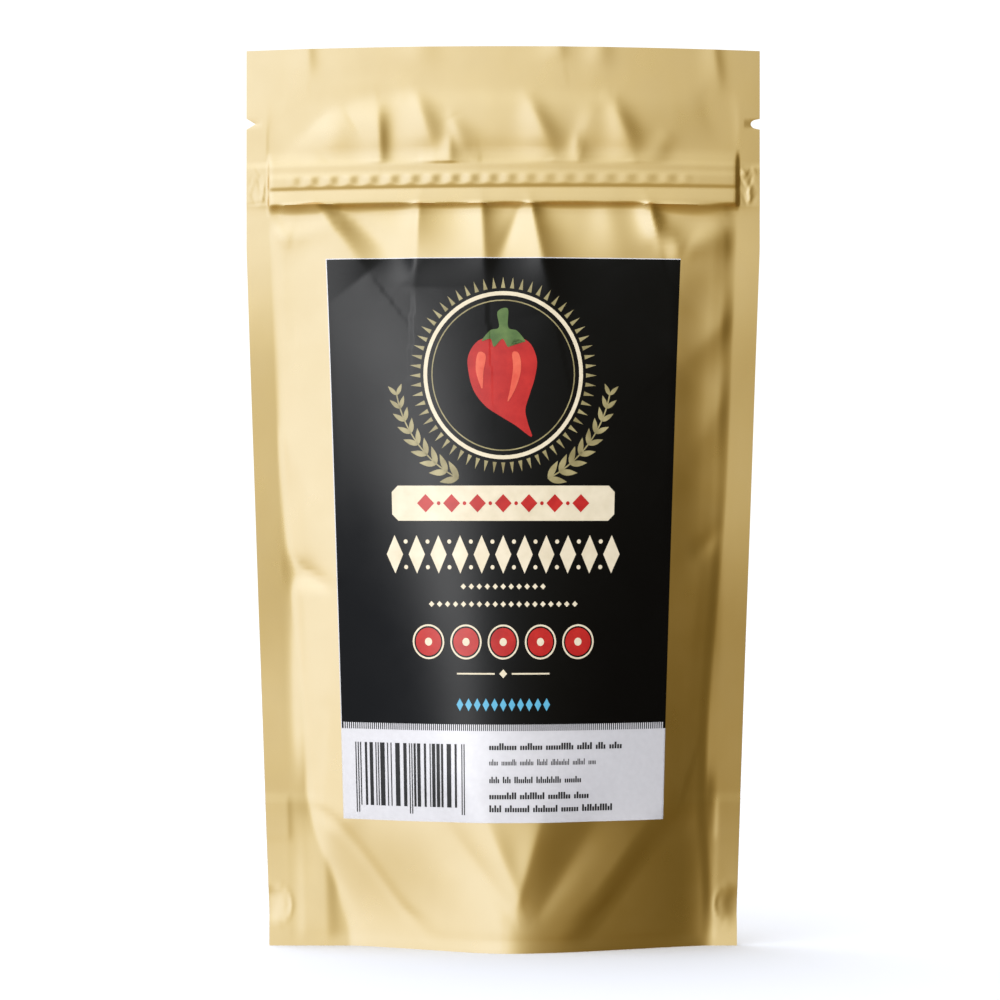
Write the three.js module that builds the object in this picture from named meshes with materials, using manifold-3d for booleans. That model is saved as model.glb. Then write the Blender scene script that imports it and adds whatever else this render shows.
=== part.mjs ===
// A stand-up foil pouch: two film panels sealed at the sides and top, a folded gusset that spreads its
// foot, a press-to-close zip inside, tear notches, a front label, and the dried chilli pods that fill it.
// Units are millimetres. +Z is up, the label faces -Y, and the origin is the middle of the foot.

import * as THREE from "three";
import { mergeVertices } from "three/addons/utils/BufferGeometryUtils.js";
import Module from "manifold-3d";

const { lerp, clamp, smoothstep, seededRandom } = THREE.MathUtils;

// The empty pouch, lying flat
const POUCH_HEIGHT = 226.5;
const FLAT_HALF_WIDTH = 65;
const FILM = 0.4;
const SEAM_GAP = 0.1;
const SIDE_SEAL = 6;
const TOP_SEAL = 9;

// The filled pouch: its side seams draw in towards the foot, and its top arches and bows forward a little
const FOOT_HALF_WIDTH = 59.2;
const SEAMS_STRAIGHT_BELOW = 8;
const SEAMS_STRAIGHT_ABOVE = 176;
const TOP_ARCH = 0.9;
const TOP_BOW = 4;
const TOP_BOW_FROM = 120;

// Depth of the belly in front of the seam plane, from foot to top, and how far it pulls the film inwards
const BELLY_DEPTH = [
  [0, 22.3], [12, 22.2], [34, 22], [52, 21.1], [76, 19], [100, 16.2], [124, 13], [145, 9.9],
  [160, 7], [172, 4.3], [181, 1.8], [185.5, 0.5], [199, 0.4], [205, 1.7], [211, 1.2], [216, 0.1],
  [POUCH_HEIGHT, 0],
];
const BELLY_POWER = 1.25;
const BELLY_PULL = 0.07;
const KEEL_ROUNDING = 0.07;
const FIN_AT_FOOT = 0.84;
const FIN_AT_WAIST = 0.8;

// The gusset: its fold stands this high at the side seams, and its seal runs down to the middle of the foot
const GUSSET_HEIGHT = 35;
const GUSSET_STEP = [GUSSET_HEIGHT + 1, GUSSET_HEIGHT + 4];
const GUSSET_SEAL_LOW = 2;
const GUSSET_RIDGE_LOW = 22;
const GUSSET_REACH = 0.9;
const GUSSET_PEEL = 0.3;
const PUNCH_RADIUS = 5.5;
const PUNCH_HEIGHT = 10;

// The zip: two flanges sealed inside the panels, with two pairs of tracks that press together
const ZIP_LOW = 187.6;
const ZIP_HIGH = 196.8;
const ZIP_TRACKS = [189.6, 193.6];
const ZIP_LIFT = 1.3;
const ZIP_CRUSHED = 0.4;
const ZIP_RAMP = 1.6;
const ZIP_RIB = 0.35;
const ZIP_RIB_WIDTH = 1.1;
const FLANGE = 0.25;
const FLANGE_FACE = 0.85;
const TRACK_REACH = 0.875;

// Tear notches in the side seals, above the zip
const NOTCH_HEIGHT = 208;
const NOTCH_DEPTH = 2.3;
const NOTCH_HALF_OPENING = 1.4;

// The label on the front
const LABEL_HALF_WIDTH = 45.2;
const LABEL_LOW = 32.5;
const LABEL_HIGH = 173.5;
const LABEL_THICKNESS = 0.25;
const LABEL_GAP = 0.1;

// Dried pods, which lie in a loose heap on the gusset
const POD_COUNT = 16;
const POD_HALF_LENGTH = 13.8;
const POD_HALF_WIDTH = 7.8;
const POD_SIDES = 8;
const POD_CLEARANCE = 0.35;
const POD_TRIES = 60;
const POD_DROP_FROM = 125;
const POD_DROP_STEP = 0.5;
const POD_SPREAD = new THREE.Vector2(34, 12);
const POD_REACH = 0.85;
const FOLD_ROOM = 1.2;
const HEAP_SEED = 7;

const FRONT = -1;
const BACK = 1;

const wasm = await Module();
wasm.setup();

// A smooth curve through [position, value] pairs
function curveThrough(points) {
  const slope = points.map(([at, value], i) => {
    const [beforeAt, before] = points[Math.max(i - 1, 0)];
    const [afterAt, after] = points[Math.min(i + 1, points.length - 1)];
    return (after - before) / (afterAt - beforeAt);
  });
  return (at) => {
    const place = clamp(at, points[0][0], points.at(-1)[0]);
    const next = clamp(points.findIndex(([end]) => end >= place), 1, points.length - 1);
    const [a, startValue] = points[next - 1];
    const [b, endValue] = points[next];
    const t = (place - a) / (b - a);
    const bend = startValue * (2 * t ** 3 - 3 * t ** 2 + 1) + endValue * (3 * t ** 2 - 2 * t ** 3);
    return bend + (b - a) * (slope[next - 1] * (t ** 3 - 2 * t ** 2 + t) + slope[next] * (t ** 3 - t ** 2));
  };
}

// The film's folds. Each runs between two points of the flat film, as [across, up], and rises or sinks
const FRONT_FOLDS = [
  { from: [-31, 198], to: [-32, 214], rise: 0.7, width: 3 },
  { from: [-18, 198], to: [-19, 215], rise: 0.8, width: 3 },
  { from: [12.5, 198], to: [9, 214], rise: 0.7, width: 3 },
  { from: [31, 198], to: [29, 214], rise: 0.7, width: 3.5 },
  { from: [-46, 184], to: [-27, 170], rise: 0.9, width: 5 },
  { from: [-24, 186], to: [-24, 166], rise: 1, width: 4.5 },
  { from: [-6, 187], to: [-7, 164], rise: 1, width: 4.5 },
  { from: [7, 186], to: [13, 160], rise: 0.9, width: 6 },
  { from: [36, 185], to: [44, 176], rise: 0.9, width: 4 },
  { from: [-50, 120], to: [-44, 92], rise: 1.1, width: 7 },
  { from: [-47, 84], to: [-46, 56], rise: 1, width: 7 },
  { from: [46, 130], to: [38, 112], rise: -1, width: 7 },
  { from: [48, 96], to: [40, 78], rise: -1, width: 7 },
  { from: [-14, 34], to: [-2, 16], rise: -0.9, width: 4 },
  { from: [15, 36], to: [3, 18], rise: -0.8, width: 5 },
];
const BACK_FOLDS = [
  { from: [-38, 186], to: [-26, 166], rise: 1, width: 5 },
  { from: [-12, 187], to: [-8, 160], rise: 1, width: 5 },
  { from: [10, 187], to: [16, 158], rise: 0.9, width: 6 },
  { from: [34, 186], to: [30, 168], rise: 1, width: 4.5 },
  { from: [-24, 199], to: [-25, 214], rise: 0.7, width: 3.5 },
  { from: [6, 199], to: [4, 214], rise: 0.8, width: 3.5 },
  { from: [26, 199], to: [28, 213], rise: 0.7, width: 3.5 },
  { from: [-49, 132], to: [-34, 108], rise: -1.1, width: 7 },
  { from: [-48, 92], to: [-40, 66], rise: 1, width: 7 },
  { from: [50, 140], to: [38, 122], rise: -1, width: 7 },
  { from: [48, 98], to: [44, 70], rise: 1, width: 7 },
  { from: [-16, 60], to: [-2, 24], rise: -0.9, width: 7 },
  { from: [18, 52], to: [4, 20], rise: -0.8, width: 6 },
];

const bellyDepth = curveThrough(BELLY_DEPTH);

function halfWidth(up) {
  const share = clamp((up - SEAMS_STRAIGHT_BELOW) / (SEAMS_STRAIGHT_ABOVE - SEAMS_STRAIGHT_BELOW), 0, 1);
  return lerp(FOOT_HALF_WIDTH, FLAT_HALF_WIDTH, share);
}

// Share of the half width where the belly starts, beside the stiff fin of each side seam
function finEdge(up) {
  const foot = lerp(FIN_AT_FOOT, FIN_AT_WAIST, smoothstep(up, 0, 40));
  return lerp(foot, 1 - SIDE_SEAL / FLAT_HALF_WIDTH, smoothstep(up, 50, 125));
}

// How full the belly is at a place across it: a keel at the foot, a bell above
function crown(across, up) {
  const inner = Math.min(Math.abs(across) / finEdge(up), 1);
  const ridge = (distance) => Math.hypot(distance, KEEL_ROUNDING) - KEEL_ROUNDING;
  const keel = 1 - ridge(inner) / ridge(1);
  const bell = (1 - inner ** 2) ** BELLY_POWER;
  return lerp(keel, bell, smoothstep(up, 4, 44));
}

function between(value, low, high, ramp) {
  return smoothstep(value, low - ramp, low) * (1 - smoothstep(value, high, high + ramp));
}

// Half the thickness of what is sealed together at the seams
function seamStack(across, up) {
  const gusset = (FILM + SEAM_GAP) * (1 - smoothstep(up, ...GUSSET_STEP));
  const zip = ZIP_CRUSHED * between(up, ZIP_LOW, ZIP_HIGH, ZIP_RAMP);
  return SEAM_GAP + FILM + gusset + zip;
}

// The zip lifts the film along its whole length, and its tracks show as two ribs
function zipLift(across, up) {
  const length = 1 - smoothstep(Math.abs(across), TRACK_REACH, TRACK_REACH + 0.045);
  const ribs = ZIP_TRACKS.reduce((sum, track) => sum + Math.exp(-(((up - track) / ZIP_RIB_WIDTH) ** 2)), 0);
  return length * ((ZIP_LIFT - ZIP_CRUSHED) * between(up, ZIP_LOW, ZIP_HIGH, ZIP_RAMP) + ZIP_RIB * ribs);
}

// Height of the seal that joins the gusset to the panels
function gussetSeal(across) {
  const share = Math.min(Math.abs(across) / GUSSET_REACH, 1);
  return lerp(GUSSET_SEAL_LOW, GUSSET_HEIGHT, share ** 2);
}

// Height of the gusset's ridge, where it arches over between the panels
function gussetRidge(across) {
  const share = Math.min(Math.abs(across) / GUSSET_REACH, 1);
  return lerp(GUSSET_RIDGE_LOW, GUSSET_HEIGHT, share ** 2);
}

function foldRelief(folds, across, up) {
  const point = new THREE.Vector2(across * FLAT_HALF_WIDTH, up);
  return folds.reduce((sum, { from, to, rise, width }) => {
    const start = new THREE.Vector2(...from);
    const run = new THREE.Vector2(...to).sub(start);
    const along = clamp(point.clone().sub(start).dot(run) / run.lengthSq(), 0, 1);
    const away = point.distanceTo(start.addScaledVector(run, along));
    return sum + rise * Math.sin(Math.PI * lerp(0.25, 0.95, along)) * Math.exp(-((away / width) ** 2));
  }, 0);
}

// Folds stay off the seams, the zip, the top seal and the sealed skirt of the foot
function foldFreedom(across, up) {
  const seams = 1 - smoothstep(Math.abs(across), 0.8, 0.9);
  const zip = 1 - between(up, ZIP_LOW - 1, ZIP_HIGH + 1, 2);
  const top = 1 - smoothstep(up, POUCH_HEIGHT - TOP_SEAL - 3, POUCH_HEIGHT - TOP_SEAL);
  const skirt = smoothstep(up, gussetSeal(across) + 2, gussetSeal(across) + 10);
  return seams * zip * top * skirt;
}

// Distance from the seam plane to the outer face of a panel
function panelDepth(folds, across, up) {
  const folded = foldRelief(folds, across, up) * foldFreedom(across, up);
  return seamStack(across, up) + bellyDepth(up) * crown(across, up) + zipLift(across, up) + folded;
}

// A place on the pouch: across from -1 to 1, up the film, and out from the seam plane
function place(side, across, up, depth) {
  const middle = 1 - across ** 2;
  const pulled = 1 - BELLY_PULL * (bellyDepth(up) / bellyDepth(0)) * middle;
  const top = smoothstep(up, TOP_BOW_FROM, POUCH_HEIGHT) * middle;
  const out = side * depth - TOP_BOW * top;
  return new THREE.Vector3(across * pulled * halfWidth(up), out, up + TOP_ARCH * top);
}

function steps(from, to, count) {
  return Array.from({ length: count + 1 }, (_, i) => lerp(from, to, i / count));
}

function inOrder(...lists) {
  return [...new Set(lists.flat().map((value) => Math.round(value * 1e5) / 1e5))].sort((a, b) => a - b);
}

// Grid lines that the panels, the gusset and the label share, so that their faces lie parallel
const SEAL_EDGE = 1 - SIDE_SEAL / FLAT_HALF_WIDTH;
const LABEL_EDGE = LABEL_HALF_WIDTH / FLAT_HALF_WIDTH;
const SEAL_COLUMNS = [TRACK_REACH, (SEAL_EDGE + 1) / 2, 1];
const RIGHT_COLUMNS = inOrder(steps(0, LABEL_EDGE, 7), steps(LABEL_EDGE, SEAL_EDGE, 4), SEAL_COLUMNS);
const COLUMNS = inOrder(RIGHT_COLUMNS.map((value) => -value), RIGHT_COLUMNS);
const LABEL_ROWS = inOrder([LABEL_LOW], GUSSET_STEP, steps(GUSSET_STEP[1], LABEL_HIGH, 16));
const ROWS = inOrder(
  steps(0, LABEL_LOW, 5),
  LABEL_ROWS,
  steps(LABEL_HIGH, ZIP_LOW - ZIP_RAMP, 3),
  [ZIP_LOW, 188.5, ...ZIP_TRACKS, 190.6, 191.6, 192.6, 194.7, ZIP_HIGH, ZIP_HIGH + ZIP_RAMP],
  steps(ZIP_HIGH + ZIP_RAMP, POUCH_HEIGHT - TOP_SEAL, 4),
  [POUCH_HEIGHT],
);

// A closed solid from lists of corners and triangles, turned to face out
function solidFrom(points, triangles) {
  const volume = triangles.reduce((sum, [a, b, c]) => {
    return sum + points[a].dot(points[b].clone().cross(points[c]));
  }, 0);
  const faces = volume < 0 ? triangles.map(([a, b, c]) => [a, c, b]) : triangles;
  return new wasm.Manifold(
    new wasm.Mesh({
      numProp: 3,
      vertProperties: new Float32Array(points.flatMap((p) => p.toArray())),
      triVerts: new Uint32Array(faces.flat()),
    }),
  );
}

// A sheet between two faces that are given on the same grid
function sheet(columns, rows, outerAt, innerAt) {
  const wide = columns.length;
  const tall = rows.length;
  const faces = [outerAt, innerAt];
  const points = faces.flatMap((at) => rows.flatMap((row) => columns.map((column) => at(column, row))));
  const corner = (layer, column, row) => (layer * tall + row) * wide + column;
  const triangles = [];
  for (let row = 0; row < tall - 1; row++) {
    for (let column = 0; column < wide - 1; column++) {
      const ring = [[column, row], [column + 1, row], [column + 1, row + 1], [column, row + 1]];
      const [a, b, c, d] = ring.map((at) => corner(0, ...at));
      const [e, f, g, h] = ring.map((at) => corner(1, ...at));
      triangles.push([a, b, c], [a, c, d], [e, g, f], [e, h, g]);
    }
  }
  const rim = (from, to) => {
    const [a, b, c, d] = [corner(0, ...to), corner(0, ...from), corner(1, ...from), corner(1, ...to)];
    triangles.push([a, b, c], [a, c, d]);
  };
  for (let column = 0; column < wide - 1; column++) {
    rim([column, 0], [column + 1, 0]);
    rim([column + 1, tall - 1], [column, tall - 1]);
  }
  for (let row = 0; row < tall - 1; row++) {
    rim([0, row + 1], [0, row]);
    rim([wide - 1, row], [wide - 1, row + 1]);
  }
  return solidFrom(points, triangles);
}

// A bar whose outline is carried along a row of stations
function loft(outline, stations, at) {
  const points = stations.flatMap((station) => outline.map((corner) => at(station, corner)));
  const count = outline.length;
  const triangles = [];
  for (let ring = 0; ring < stations.length - 1; ring++) {
    for (let i = 0; i < count; i++) {
      const [a, b] = [ring * count + i, ring * count + ((i + 1) % count)];
      triangles.push([a, b, b + count], [a, b + count, a + count]);
    }
  }
  const cap = THREE.ShapeUtils.triangulateShape(outline, []);
  const last = (stations.length - 1) * count;
  const clockwise = THREE.ShapeUtils.isClockWise(outline);
  for (const [a, b, c] of cap) {
    triangles.push(clockwise ? [a, b, c] : [a, c, b]);
    triangles.push(clockwise ? [last + a, last + c, last + b] : [last + a, last + b, last + c]);
  }
  return solidFrom(points, triangles);
}

// A solid of an outline in the XZ plane that runs right through the seams
function throughCutter(shape, x, z) {
  const geometry = new THREE.ExtrudeGeometry(shape, { depth: 8, bevelEnabled: false, curveSegments: 8 });
  geometry.translate(0, 0, -4).rotateX(Math.PI / 2).translate(x, 0, z);
  geometry.deleteAttribute("normal");
  geometry.deleteAttribute("uv");
  const merged = mergeVertices(geometry, 1e-4);
  const { array } = merged.getAttribute("position");
  return new wasm.Manifold(
    new wasm.Mesh({ numProp: 3, vertProperties: array, triVerts: new Uint32Array(merged.index.array) }),
  );
}

// A tear notch: a V in the left seal, a half round in the right one
function tearNotches() {
  const vee = new THREE.Shape([
    new THREE.Vector2(-1, NOTCH_HALF_OPENING),
    new THREE.Vector2(-1, -NOTCH_HALF_OPENING),
    new THREE.Vector2(NOTCH_DEPTH, 0),
  ]);
  const round = new THREE.Shape().absellipse(0, 0, NOTCH_DEPTH, NOTCH_HALF_OPENING, 0, 2 * Math.PI);
  const left = throughCutter(vee, -FLAT_HALF_WIDTH, NOTCH_HEIGHT);
  return left.add(throughCutter(round, FLAT_HALF_WIDTH, NOTCH_HEIGHT));
}

function panel(side, folds) {
  const outer = (across, up) => place(side, across, up, panelDepth(folds, across, up));
  const inner = (across, up) => place(side, across, up, panelDepth(folds, across, up) - FILM);
  return sheet(COLUMNS, ROWS, outer, inner).subtract(tearNotches());
}

// The gusset goes up behind the front panel, over its ridge and down behind the back panel
function gusset() {
  const face = (thickness) => (across, share) => {
    const side = share < 0 ? FRONT : BACK;
    const folds = side === FRONT ? FRONT_FOLDS : BACK_FOLDS;
    const seal = gussetSeal(across);
    const climb = 1 - Math.abs(share);
    const up = seal * Math.min(climb * 2, 1);
    const peel = GUSSET_PEEL * (1 - smoothstep(Math.abs(across), 0.75, 0.85));
    const depth = panelDepth(folds, across, up) - 2 * FILM - SEAM_GAP - peel + thickness;
    if (climb <= 0.5) return place(side, across, up, depth);
    const turn = (climb - 0.5) * Math.PI;
    const height = gussetRidge(across) - seal + thickness;
    return place(side, across, seal + height * Math.sin(turn), depth * Math.cos(turn));
  };
  const shares = steps(-1, 1, 12);
  const film = sheet(COLUMNS, shares, face(FILM), face(0));
  const punch = new THREE.Shape().absarc(0, 0, PUNCH_RADIUS, 0, 2 * Math.PI);
  const punches = throughCutter(punch, -FOOT_HALF_WIDTH, PUNCH_HEIGHT).add(
    throughCutter(punch, FOOT_HALF_WIDTH, PUNCH_HEIGHT),
  );
  return film.subtract(punches);
}

// A zip flange lies against the film and dips into the side seals with it
function zipFlange(side) {
  const dip = (across) => smoothstep(Math.abs(across), TRACK_REACH - 0.005, TRACK_REACH + 0.035);
  const faceDepth = (across) => lerp(FLANGE_FACE, SEAM_GAP, dip(across));
  return sheet(
    COLUMNS,
    [ZIP_LOW, (ZIP_LOW + ZIP_HIGH) / 2, ZIP_HIGH],
    (across, up) => place(side, across, up, faceDepth(across) + FLANGE),
    (across, up) => place(side, across, up, faceDepth(across)),
  );
}

// A rail of the zip, given as [out from the seam plane, up] corners about its track
function zipRail(side, track, corners) {
  const outline = corners.map(([depth, up]) => new THREE.Vector2(depth, up));
  const stations = steps(-TRACK_REACH + 0.01, TRACK_REACH - 0.01, 10);
  return loft(outline, stations, (across, corner) => place(side, across, track + corner.y, corner.x));
}

// Each groove is two hooked rails; their lips hold the arrowhead of the bead
function zipGrooves() {
  const root = FLANGE_FACE + FLANGE / 2;
  const hook = [[root, 1.25], [-0.05, 1.25], [-0.05, 0.45], [0.2, 0.45], [0.2, 0.85], [root, 0.85]];
  const mirrored = hook.map(([depth, up]) => [depth, -up]);
  return ZIP_TRACKS.reduce(
    (solid, track) => solid.add(zipRail(FRONT, track, hook)).add(zipRail(FRONT, track, mirrored)),
    zipFlange(FRONT),
  );
}

function zipBeads() {
  const root = FLANGE_FACE + FLANGE / 2;
  const neck = [[root, 0.2], [-0.35, 0.2]];
  const arrow = [[-0.35, 0.68], [-0.65, 0], [-0.35, -0.68]];
  const bead = [...neck, ...arrow, [-0.35, -0.2], [root, -0.2]];
  return ZIP_TRACKS.reduce((solid, track) => solid.add(zipRail(BACK, track, bead)), zipFlange(BACK));
}

function label() {
  const columns = COLUMNS.filter((across) => Math.abs(across) <= LABEL_EDGE + 1e-4);
  const face = (lift) => (across, up) => {
    return place(FRONT, across, up, panelDepth(FRONT_FOLDS, across, up) + lift);
  };
  return sheet(columns, LABEL_ROWS, face(LABEL_GAP + LABEL_THICKNESS), face(LABEL_GAP));
}

// Radius of a dried pod along its length: stinger tip, lantern body, shoulder, cap and stem
const podRadius = curveThrough([
  [-1, 0.03], [-0.84, 0.09], [-0.68, 0.34], [-0.38, 0.8], [-0.02, 0.96], [0.3, 0.82], [0.47, 0.5],
  [0.53, 0.46], [0.6, 0.2], [0.74, 0.13], [1, 0.12],
]);
const POD_STATIONS = [-1, -0.84, -0.66, -0.4, -0.08, 0.22, 0.44, 0.54, 0.63, 1];

// A pod's spine lies on the X axis, with the stem towards +X, and droops at both ends
function podSpine(station, droop) {
  return new THREE.Vector3(POD_HALF_LENGTH * station, 0, -droop * station ** 3);
}

// One wrinkled pod
function pod(droop) {
  const creases = 3 + Math.floor(seededRandom() * 2);
  const phase = seededRandom() * Math.PI;
  const turns = steps(0, 2 * Math.PI, POD_SIDES).slice(1);
  const outline = turns.map((turn) => new THREE.Vector2(Math.cos(turn), Math.sin(turn)));
  return loft(outline, POD_STATIONS, (station, corner) => {
    const wrinkle = 1 - 0.16 * (0.5 + 0.5 * Math.cos(creases * corner.angle() + phase + 2 * station));
    const radius = POD_HALF_WIDTH * podRadius(station) * wrinkle;
    return podSpine(station, droop).add(new THREE.Vector3(0, corner.x * radius, corner.y * radius));
  });
}

// Whether a ball inside the pouch is clear of both panels and of the gusset's arch
function clearOfFilm({ centre, radius }) {
  const room = radius + POD_CLEARANCE;
  const directions = [-1, 0, 1].flatMap((dx) => [-1, 0, 1].map((dz) => new THREE.Vector2(dx, dz)));
  return directions.every((direction) => {
    const [dx, dz] = direction.clampLength(0, 1).multiplyScalar(room);
    const [x, up] = [centre.x + dx, centre.z + dz];
    const across = Math.abs(x) / halfWidth(up);
    if (across > POD_REACH) return false;
    const depth = seamStack(across, up) + bellyDepth(up) * crown(across, up) - FILM - FOLD_ROOM;
    const far = Math.abs(centre.y) + Math.sqrt(Math.max(room ** 2 - dx ** 2 - dz ** 2, 0));
    const near = Math.max(Math.abs(centre.y) - Math.sqrt(room ** 2 - dx ** 2), 0);
    const seal = gussetSeal(across);
    const rise = (up - seal) / (gussetRidge(across) + FILM - seal);
    return far < depth && up > seal && rise ** 2 + (near / depth) ** 2 > 1;
  });
}

// Pods drop in one after another, each at the lowest of several tries, until they touch what lies below
function heapOfPods() {
  const heap = [];
  const spread = (range) => (2 * seededRandom() - 1) * range;
  const balls = (drop) => POD_STATIONS.map((station) => ({
    centre: podSpine(station, drop.droop).applyEuler(drop.turn).add(drop.where),
    radius: POD_HALF_WIDTH * podRadius(station),
  }));
  const free = (drop) => {
    const mine = balls(drop);
    const others = heap.flatMap((settled) => settled.balls);
    return mine.every((ball) => clearOfFilm(ball) && others.every((other) => {
      return ball.centre.distanceTo(other.centre) > ball.radius + other.radius + 2 * POD_CLEARANCE;
    }));
  };
  for (let i = 0; i < POD_COUNT; i++) {
    const tries = Array.from({ length: POD_TRIES }, () => {
      const facing = seededRandom() < 0.5 ? Math.PI : 0;
      const turn = new THREE.Euler(spread(Math.PI), spread(0.35), facing + spread(0.3), "ZYX");
      const where = new THREE.Vector3(spread(POD_SPREAD.x), spread(POD_SPREAD.y), POD_DROP_FROM);
      const drop = { turn, where, droop: 0.6 + seededRandom() };
      while (where.z > 0 && !free(drop)) where.z -= POD_DROP_STEP;
      while (free(drop)) where.z -= POD_DROP_STEP;
      where.z += POD_DROP_STEP;
      return drop;
    });
    const lowest = tries.filter(free).sort((a, b) => a.where.z - b.where.z)[0];
    heap.push({ ...lowest, balls: balls(lowest) });
  }
  return heap;
}

function geometryOf(solid) {
  const { numProp, vertProperties, triVerts } = solid.getMesh();
  const positions = new Float32Array((vertProperties.length / numProp) * 3);
  for (let i = 0; i * numProp < vertProperties.length; i++) {
    positions.set(vertProperties.subarray(i * numProp, i * numProp + 3), i * 3);
  }
  const geometry = new THREE.BufferGeometry();
  geometry.setAttribute("position", new THREE.BufferAttribute(positions, 3));
  geometry.setIndex(new THREE.BufferAttribute(new Uint32Array(triVerts), 1));
  geometry.computeVertexNormals();
  return geometry;
}

const goldFilm = new THREE.MeshStandardMaterial({ color: 0xe0c484, roughness: 0.35, metalness: 1 });
const clearPlastic = new THREE.MeshStandardMaterial({ color: 0xe9ebec, roughness: 0.3, metalness: 0 });
const blackLabel = new THREE.MeshStandardMaterial({ color: 0x141417, roughness: 0.4, metalness: 0 });
const driedSkin = new THREE.MeshStandardMaterial({ color: 0x7a1710, roughness: 0.5, metalness: 0 });

const pouch = new THREE.Group();

function addPiece(name, solid, material) {
  const mesh = new THREE.Mesh(geometryOf(solid), material);
  mesh.name = name;
  pouch.add(mesh);
  return mesh;
}

addPiece("front_panel", panel(FRONT, FRONT_FOLDS), goldFilm);
addPiece("back_panel", panel(BACK, BACK_FOLDS), goldFilm);
addPiece("bottom_gusset", gusset(), goldFilm);
addPiece("zip_groove_strip", zipGrooves(), clearPlastic);
addPiece("zip_bead_strip", zipBeads(), clearPlastic);
addPiece("front_label", label(), blackLabel);

seededRandom(HEAP_SEED);
heapOfPods().forEach(({ where, turn, droop }, i) => {
  const mesh = addPiece(`dried_pod_${String(i + 1).padStart(2, "0")}`, pod(droop), driedSkin);
  mesh.position.copy(where);
  mesh.rotation.copy(turn);
});

export default pouch;
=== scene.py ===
import math

import bmesh
import bpy
import numpy as np
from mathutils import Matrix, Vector


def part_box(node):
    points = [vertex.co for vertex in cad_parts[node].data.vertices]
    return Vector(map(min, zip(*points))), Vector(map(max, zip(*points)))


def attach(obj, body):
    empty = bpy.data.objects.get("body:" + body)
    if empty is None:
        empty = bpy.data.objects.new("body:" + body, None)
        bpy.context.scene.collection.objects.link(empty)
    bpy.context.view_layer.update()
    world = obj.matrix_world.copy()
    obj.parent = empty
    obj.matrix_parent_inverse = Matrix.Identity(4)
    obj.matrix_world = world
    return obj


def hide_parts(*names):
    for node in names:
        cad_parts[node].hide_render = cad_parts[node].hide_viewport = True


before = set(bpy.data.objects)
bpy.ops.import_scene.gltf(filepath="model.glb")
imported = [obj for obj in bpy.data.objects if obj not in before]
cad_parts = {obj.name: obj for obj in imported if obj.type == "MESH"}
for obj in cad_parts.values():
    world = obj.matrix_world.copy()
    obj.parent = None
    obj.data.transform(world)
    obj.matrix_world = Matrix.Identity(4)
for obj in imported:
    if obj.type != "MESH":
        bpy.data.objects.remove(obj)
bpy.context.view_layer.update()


# The film panels. Two faces of unprinted gold metallised film, cut to one outline and heat sealed to
# each other along both sides and across the top. The filled belly pushes them apart, and the film,
# which can't stretch, throws folds above and below the zip and beside the seals.
MM = 0.001
panel_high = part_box("front_panel")[1]
FLAT_HALF_WIDTH = panel_high[0] / MM
TOP_ARCH = 0.9
POUCH_HEIGHT = panel_high[2] / MM - TOP_ARCH
TOP_BOW = 4
TOP_BOW_FROM = 120
FILM = 0.48
FILM_GAP = 0.02
FOOT_HALF_WIDTH = 59.2
SEAMS_STRAIGHT = (8, 176)
SEAL_EDGE = 0.908
BELLY_DEPTH = [
    (0, 22.3), (12, 22.2), (34, 22), (52, 21.1), (76, 19), (100, 16.2), (124, 13), (145, 9.9),
    (160, 7), (172, 4.3), (181, 1.6), (185.5, 0.2), (199, 0.3), (205, 1.1), (211, 0.9), (216, 0.1),
    (POUCH_HEIGHT, 0),
]
BELLY_POWER = 1.25
BELLY_PULL = 0.07
KEEL_OFFSET = 0.035
KEEL_ROUNDING = (0.2, 0.34)
KEEL_TOE = 0.09
SEAM_TOE = (0.7, 0.15)
SEAM_TOE_FROM = (85, 140)
FIN_AT_FOOT = (0.69, 0.91)
FIN_AT_WAIST = (0.84, 0.865)
GUSSET_HEIGHT = 35
GUSSET_STEP = (36, 39)
GUSSET_SEAL_LOW = 2
GUSSET_REACH = 0.9
FOOT_LINE = (0.25, 0.85)
FRONT, BACK = -1, 1


def smooth(value, low, high):
    share = np.clip((value - low) / (high - low), 0, 1)
    return share * share * (3 - 2 * share)


def mix(a, b, share):
    return a + (b - a) * share


def band(value, low, high, ramp):
    return smooth(value, low - ramp, low) * (1 - smooth(value, high, high + ramp))


def hump(value, middle, width, power=2):
    return np.exp(-np.abs((value - middle) / width) ** power)


def curve_through(points):
    at, value = np.array(points, float).T
    order = np.arange(len(at))
    before, after = np.maximum(order - 1, 0), np.minimum(order + 1, len(at) - 1)
    slope = (value[after] - value[before]) / (at[after] - at[before])

    def read(x):
        x = np.clip(x, at[0], at[-1])
        i = np.clip(np.searchsorted(at, x), 1, len(at) - 1)
        span = at[i] - at[i - 1]
        t = (x - at[i - 1]) / span
        ends = value[i - 1] * (2 * t ** 3 - 3 * t ** 2 + 1) + value[i] * (3 * t ** 2 - 2 * t ** 3)
        return ends + span * (slope[i - 1] * (t ** 3 - 2 * t ** 2 + t) + slope[i] * (t ** 3 - t ** 2))

    return read


belly_depth = curve_through(BELLY_DEPTH)


def half_width(up):
    share = np.clip((up - SEAMS_STRAIGHT[0]) / (SEAMS_STRAIGHT[1] - SEAMS_STRAIGHT[0]), 0, 1)
    return mix(FOOT_HALF_WIDTH, FLAT_HALF_WIDTH, share)


def by_side(across, sizes):
    return mix(sizes[0], sizes[1], smooth(across, -0.35, 0.35))


def fin_edge(across, up):
    low = mix(by_side(across, FIN_AT_FOOT), by_side(across, FIN_AT_WAIST), smooth(up, 0, 40))
    return mix(low, SEAL_EDGE, smooth(up, 50, 125))


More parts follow.
